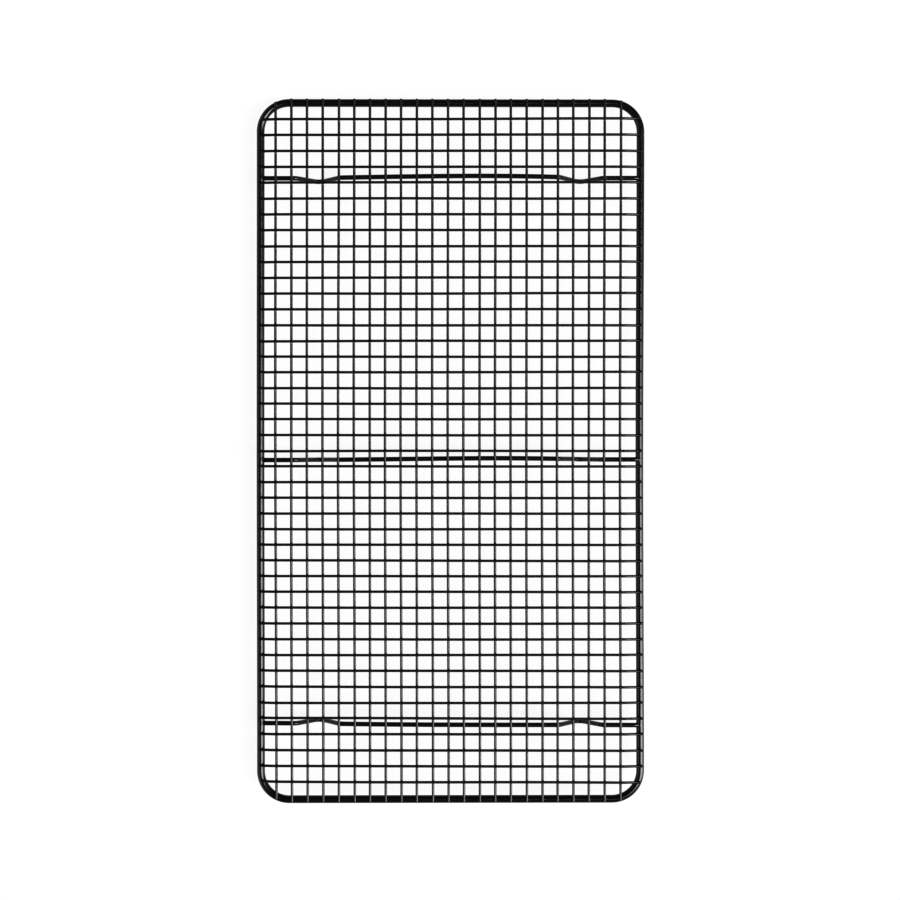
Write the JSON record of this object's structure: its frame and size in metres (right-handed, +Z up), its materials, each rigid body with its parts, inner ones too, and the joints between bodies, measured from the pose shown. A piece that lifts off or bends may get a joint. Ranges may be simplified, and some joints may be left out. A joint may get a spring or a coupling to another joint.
{
  "type": "cooling rack",
  "caption": "Low rectangular wire rack for cooling baked goods: a fine square grid of thin wires welded on a rounded rim, with V-shaped feet bent from bars beneath.",
  "frame": {"origin": "on the plane the feet stand on, under the middle of the overall box", "axes": "+Y along the rack's length towards the rear, +X across it to the right, +Z up through the cooling surface"},
  "size_m": [0.2516, 0.457, 0.0218],
  "materials": {
    "rim_coating": "satin black non-stick coating baked on thick steel wire",
    "leg_coating": "satin black non-stick coating baked on steel rod",
    "wire_coating": "satin black non-stick coating baked on thin steel wire"
  },
  "bodies": {
    "root": {"rim": "rim_coating", "leg_bar_rear": "leg_coating", "leg_bar_middle": "leg_coating", "leg_bar_front": "leg_coating", "long_wire_centre": "wire_coating", "long_wire_pair_01": "wire_coating", "long_wire_pair_02": "wire_coating", "long_wire_pair_03": "wire_coating", "long_wire_pair_04": "wire_coating", "long_wire_pair_05": "wire_coating", "long_wire_pair_06": "wire_coating", "long_wire_pair_07": "wire_coating", "long_wire_pair_08": "wire_coating", "long_wire_pair_09": "wire_coating", "long_wire_pair_10": "wire_coating", "long_wire_pair_11": "wire_coating", "cross_wire_01": "wire_coating", "cross_wire_02": "wire_coating", "cross_wire_03": "wire_coating", "cross_wire_04": "wire_coating", "cross_wire_05": "wire_coating", "cross_wire_06": "wire_coating", "cross_wire_07": "wire_coating", "cross_wire_08": "wire_coating", "cross_wire_09": "wire_coating", "cross_wire_10": "wire_coating", "cross_wire_11": "wire_coating", "cross_wire_12": "wire_coating", "cross_wire_13": "wire_coating", "cross_wire_14": "wire_coating", "cross_wire_15": "wire_coating", "cross_wire_16": "wire_coating", "cross_wire_17": "wire_coating", "cross_wire_18": "wire_coating", "cross_wire_19": "wire_coating", "cross_wire_20": "wire_coating", "cross_wire_21": "wire_coating", "cross_wire_22": "wire_coating", "cross_wire_23": "wire_coating", "cross_wire_24": "wire_coating", "cross_wire_25": "wire_coating", "cross_wire_26": "wire_coating", "cross_wire_27": "wire_coating", "cross_wire_28": "wire_coating", "cross_wire_29": "wire_coating", "cross_wire_30": "wire_coating", "cross_wire_31": "wire_coating", "cross_wire_32": "wire_coating", "cross_wire_33": "wire_coating", "cross_wire_34": "wire_coating", "cross_wire_35": "wire_coating", "cross_wire_36": "wire_coating", "cross_wire_37": "wire_coating", "cross_wire_38": "wire_coating", "cross_wire_39": "wire_coating", "cross_wire_40": "wire_coating", "cross_wire_41": "wire_coating", "cross_wire_42": "wire_coating", "cross_wire_43": "wire_coating"}
  },
  "joints": []
}
